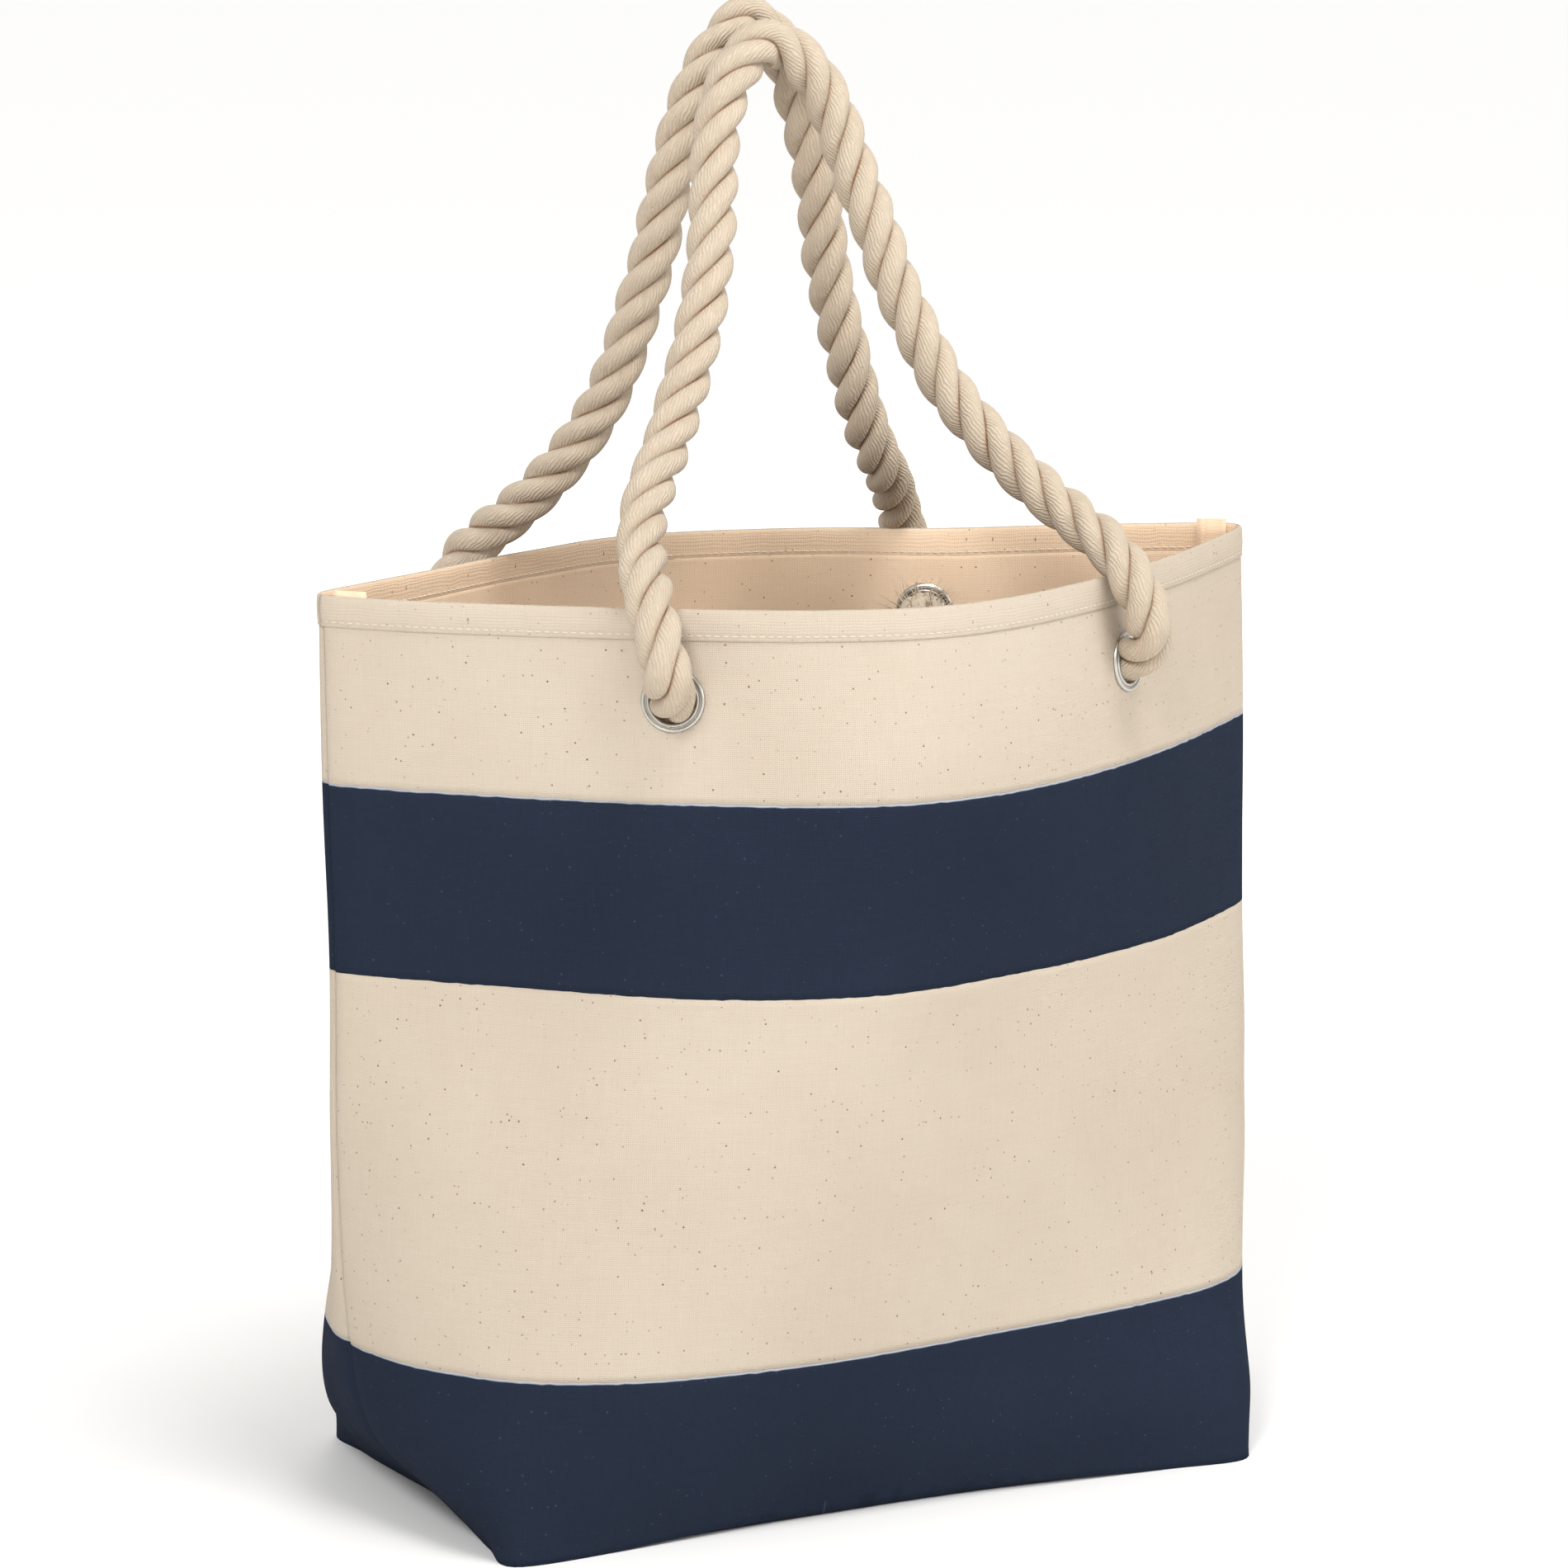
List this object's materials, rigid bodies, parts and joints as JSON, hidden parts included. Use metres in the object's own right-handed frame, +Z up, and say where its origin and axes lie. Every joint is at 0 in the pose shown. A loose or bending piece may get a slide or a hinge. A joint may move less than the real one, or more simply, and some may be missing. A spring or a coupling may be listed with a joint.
{
  "type": "canvas beach bag",
  "caption": "Open-topped canvas beach bag with broad navy and natural bands, a stitched rim, metal eyelets and two knotted rope handles that swing.",
  "frame": {"origin": "centre of the bag's footprint on the floor it stands on", "axes": "+Z up, -Y is the front panel, +X to the right of someone facing the front panel"},
  "size_m": [0.4255, 0.2631, 0.617],
  "materials": {
    "canvas_natural": "plain-weave cotton canvas, natural",
    "canvas_navy": "plain-weave cotton canvas, navy",
    "thread": "polyester sewing thread",
    "rope": "three-strand twisted cotton rope",
    "nickel": "nickel-plated steel, polished"
  },
  "bodies": {
    "bag": {"base_canvas": "canvas_navy", "front_middle_band": "canvas_natural", "front_stripe": "canvas_navy", "front_top_band": "canvas_natural", "front_rim_hem": "canvas_natural", "back_middle_band": "canvas_natural", "back_stripe": "canvas_navy", "back_top_band": "canvas_natural", "back_rim_hem": "canvas_natural", "left_side_seam": "canvas_natural", "right_side_seam": "canvas_natural", "left_base_seam": "canvas_navy", "right_base_seam": "canvas_navy", "front_hem_stitching": "thread", "back_hem_stitching": "thread", "front_left_eyelet": "nickel", "front_right_eyelet": "nickel", "back_left_eyelet": "nickel", "back_right_eyelet": "nickel", "front_left_washer": "nickel", "front_right_washer": "nickel", "back_left_washer": "nickel", "back_right_washer": "nickel", "front_left_knot": "rope", "front_right_knot": "rope", "back_left_knot": "rope", "back_right_knot": "rope"},
    "front_handle": {"front_handle_rope": "rope"},
    "back_handle": {"back_handle_rope": "rope"}
  },
  "joints": [
    {"name": "front_handle_swing", "type": "hinge", "parent": "bag", "child": "front_handle", "pos_m": [0.01, -0.0965, 0.345], "axis": [0.9984, 0.0569, 0], "range_deg": [0, 140]},
    {"name": "back_handle_swing", "type": "hinge", "parent": "bag", "child": "back_handle", "pos_m": [-0.002, 0.096, 0.345], "axis": [-1, -0.0089, 0], "range_deg": [0, 140]}
  ]
}
